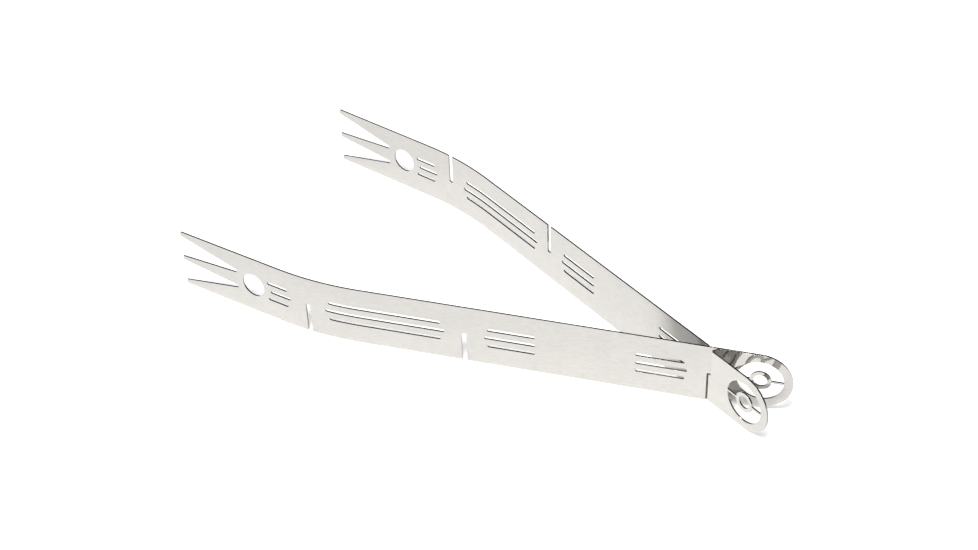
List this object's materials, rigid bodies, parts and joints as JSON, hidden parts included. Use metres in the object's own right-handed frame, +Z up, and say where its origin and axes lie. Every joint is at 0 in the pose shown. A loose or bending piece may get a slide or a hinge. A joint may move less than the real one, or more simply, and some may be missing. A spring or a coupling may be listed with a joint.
{
  "type": "barbecue tongs",
  "caption": "Knock-down barbecue tongs: slotted spring-steel sheet arms cross in an X, with a bent three-tine fork at one end and a spoked ring tail at the other.",
  "frame": {"origin": "on the axis where the two arms cross, at the level of the arms' lower long edges", "axes": "+Z up, the tines point towards -X and the ring tails towards +X, the left arm's fork is on the -Y side and the right arm's on the +Y side"},
  "size_m": [0.2989, 0.1286, 0.032],
  "materials": {
    "stainless_sheet": "satin stainless sheet, fine grain along the arm"
  },
  "bodies": {
    "left_tail": {"left_arm_tail": "stainless_sheet"},
    "left_blade": {"left_arm_blade": "stainless_sheet"},
    "right_tail": {"right_arm_tail": "stainless_sheet"},
    "right_blade": {"right_arm_blade": "stainless_sheet"}
  },
  "joints": [
    {"name": "cross_lap_pivot", "type": "hinge", "parent": "left_tail", "child": "right_tail", "pos_m": [0, 0, 0.016], "axis": [0, 0, -1], "range_deg": [0, 106]},
    {"name": "left_arm_flex", "type": "hinge", "parent": "left_tail", "child": "left_blade", "pos_m": [-0.03793, -0.01269, 0.016], "axis": [0, 0, -1], "range_deg": [0, 15.7], "stiffness_Nm_per_rad": 3.3},
    {"name": "right_arm_flex", "type": "hinge", "parent": "right_tail", "child": "right_blade", "pos_m": [-0.03793, 0.01269, 0.016], "axis": [0, 0, 1], "range_deg": [0, 15.7], "stiffness_Nm_per_rad": 3.3}
  ],
  "couplings": [
    {"joint": "right_arm_flex", "follows": "left_arm_flex", "ratio": 1}
  ]
}
